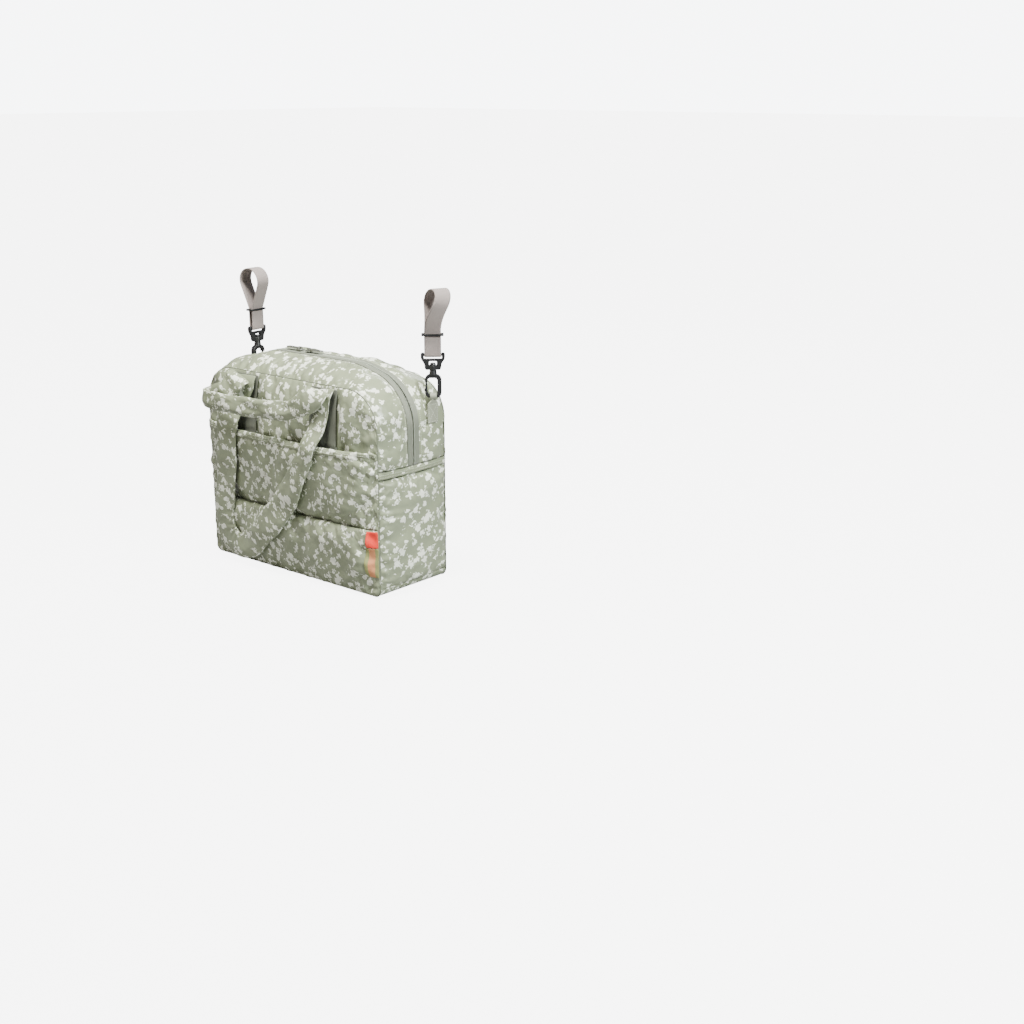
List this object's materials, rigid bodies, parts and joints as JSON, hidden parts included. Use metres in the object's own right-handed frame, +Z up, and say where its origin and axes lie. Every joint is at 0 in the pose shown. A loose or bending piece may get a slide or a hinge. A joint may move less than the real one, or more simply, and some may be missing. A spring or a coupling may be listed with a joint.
{
  "type": "diaper bag",
  "caption": "Soft zipped diaper bag with a domed top, front slip pocket, carrying handles and clip-on stroller straps with swivel hooks.",
  "frame": {"origin": "centre of the underside of the base", "axes": "+X to the bag's right, +Y to its back, the stroller side, +Z up"},
  "size_m": [0.4467, 0.2178, 0.4522],
  "materials": {
    "shell_print": "sage nylon with pale spots, slight sheen",
    "plain_webbing": "plain sage webbing",
    "anchor_webbing": "dark plain webbing",
    "zip_tape": "woven tape",
    "zip_coil": "moulded nylon coil",
    "zip_metal": "satin plated",
    "lining_cloth": "plain lining",
    "stiffener": "plain board",
    "strap_webbing": "taupe webbing",
    "black_plastic": "moulded, semi-matt",
    "coral_cloth": "woven tab",
    "tan_cloth": "woven tab"
  },
  "bodies": {
    "bag": {"front_panel": "shell_print", "back_panel": "shell_print", "gusset_front_strip": "shell_print", "gusset_back_strip": "shell_print", "base_panel": "shell_print", "side_gusset_right": "shell_print", "side_gusset_left": "shell_print", "side_band_right": "shell_print", "side_band_left": "shell_print", "front_lower_panel": "shell_print", "front_pocket": "shell_print", "front_pocket_hem": "shell_print", "side_loop_right": "plain_webbing", "side_loop_left": "plain_webbing", "inner_pocket_elastic": "plain_webbing", "handle_anchor_front_right": "anchor_webbing", "handle_anchor_front_left": "anchor_webbing", "handle_anchor_back_right": "anchor_webbing", "handle_anchor_back_left": "anchor_webbing", "zip_tape_front": "zip_tape", "zip_tape_back": "zip_tape", "zip_coil_front": "zip_coil", "zip_coil_back": "zip_coil", "zip_stop_right": "zip_metal", "zip_stop_left": "zip_metal", "lining": "lining_cloth", "inner_pocket": "lining_cloth", "base_board": "stiffener", "side_tab_coral": "coral_cloth", "side_tab_tan": "tan_cloth"},
    "handle_front_long": {"handle_front_long": "shell_print"},
    "handle_front_short": {"handle_front_short": "shell_print"},
    "handle_back_long": {"handle_back_long": "shell_print"},
    "handle_back_short": {"handle_back_short": "shell_print"},
    "zip_slider_a": {"zip_slider_a": "zip_metal"},
    "zip_pull_a": {"zip_pull_a": "zip_metal"},
    "zip_slider_b": {"zip_slider_b": "zip_metal"},
    "zip_pull_b": {"zip_pull_b": "zip_metal"},
    "hook_right": {"hook_body_right": "black_plastic"},
    "gate_right": {"hook_gate_right": "black_plastic"},
    "strap_right": {"swivel_frame_right": "black_plastic", "strap_webbing_right": "strap_webbing"},
    "glide_right": {"tri_glide_right": "black_plastic"},
    "hook_left": {"hook_body_left": "black_plastic"},
    "gate_left": {"hook_gate_left": "black_plastic"},
    "strap_left": {"swivel_frame_left": "black_plastic", "strap_webbing_left": "strap_webbing"},
    "glide_left": {"tri_glide_left": "black_plastic"}
  },
  "joints": [
    {"name": "handle_front_long_swing", "type": "hinge", "parent": "bag", "child": "handle_front_long", "pos_m": [0, -0.079, 0.314], "axis": [-1, 0, 0], "range_deg": [0, 135]},
    {"name": "handle_front_short_swing", "type": "hinge", "parent": "handle_front_long", "child": "handle_front_short", "pos_m": [0, -0.079, 0.314], "axis": [-1, 0, 0], "range_deg": [0, 35]},
    {"name": "handle_back_long_swing", "type": "hinge", "parent": "bag", "child": "handle_back_long", "pos_m": [0, 0.079, 0.314], "axis": [1, 0, 0], "range_deg": [0, 135]},
    {"name": "handle_back_short_swing", "type": "hinge", "parent": "handle_back_long", "child": "handle_back_short", "pos_m": [0, 0.079, 0.314], "axis": [1, 0, 0], "range_deg": [0, 35]},
    {"name": "zip_slider_a_slide", "type": "slide", "parent": "bag", "child": "zip_slider_a", "axis": [-1, 0, 0], "range_m": [0, 0.02]},
    {"name": "zip_slider_b_slide", "type": "slide", "parent": "bag", "child": "zip_slider_b", "axis": [1, 0, 0], "range_m": [0, 0.09]},
    {"name": "zip_pull_a_swing", "type": "hinge", "parent": "zip_slider_a", "child": "zip_pull_a", "pos_m": [-0.04845, 0, 0.3418], "axis": [0, 1, 0], "range_deg": [0, 90]},
    {"name": "zip_pull_b_swing", "type": "hinge", "parent": "zip_slider_b", "child": "zip_pull_b", "pos_m": [-0.02755, 0, 0.3418], "axis": [0, -1, 0], "range_deg": [0, 90]},
    {"name": "hook_right_tilt", "type": "hinge", "parent": "bag", "child": "hook_right", "pos_m": [0.198, 0.04, 0.292], "axis": [0.7431, 0.6691, 0], "range_deg": [-10, 120]},
    {"name": "gate_right_open", "type": "hinge", "parent": "hook_right", "child": "gate_right", "pos_m": [0.19027, 0.03304, 0.3167], "axis": [0.6691, -0.7431, 0], "range_deg": [0, 33], "stiffness_Nm_per_rad": 0.02, "springref_deg": -20.05},
    {"name": "strap_right_swivel", "type": "hinge", "parent": "hook_right", "child": "strap_right", "pos_m": [0.198, 0.04, 0.342], "axis": [0, 0, 1], "continuous": true},
    {"name": "glide_right_slide", "type": "slide", "parent": "strap_right", "child": "glide_right", "axis": [0, 0, -1], "range_m": [0, 0.015]},
    {"name": "hook_left_tilt", "type": "hinge", "parent": "bag", "child": "hook_left", "pos_m": [-0.198, 0.04, 0.292], "axis": [0.0698, -0.9976, 0], "range_deg": [-10, 120]},
    {"name": "gate_left_open", "type": "hinge", "parent": "hook_left", "child": "gate_left", "pos_m": [-0.19873, 0.05037, 0.3167], "axis": [-0.9976, -0.0698, 0], "range_deg": [0, 33], "stiffness_Nm_per_rad": 0.02, "springref_deg": -20.05},
    {"name": "strap_left_swivel", "type": "hinge", "parent": "hook_left", "child": "strap_left", "pos_m": [-0.198, 0.04, 0.342], "axis": [0, 0, 1], "continuous": true},
    {"name": "glide_left_slide", "type": "slide", "parent": "strap_left", "child": "glide_left", "axis": [0, 0, -1], "range_m": [0, 0.015]}
  ]
}
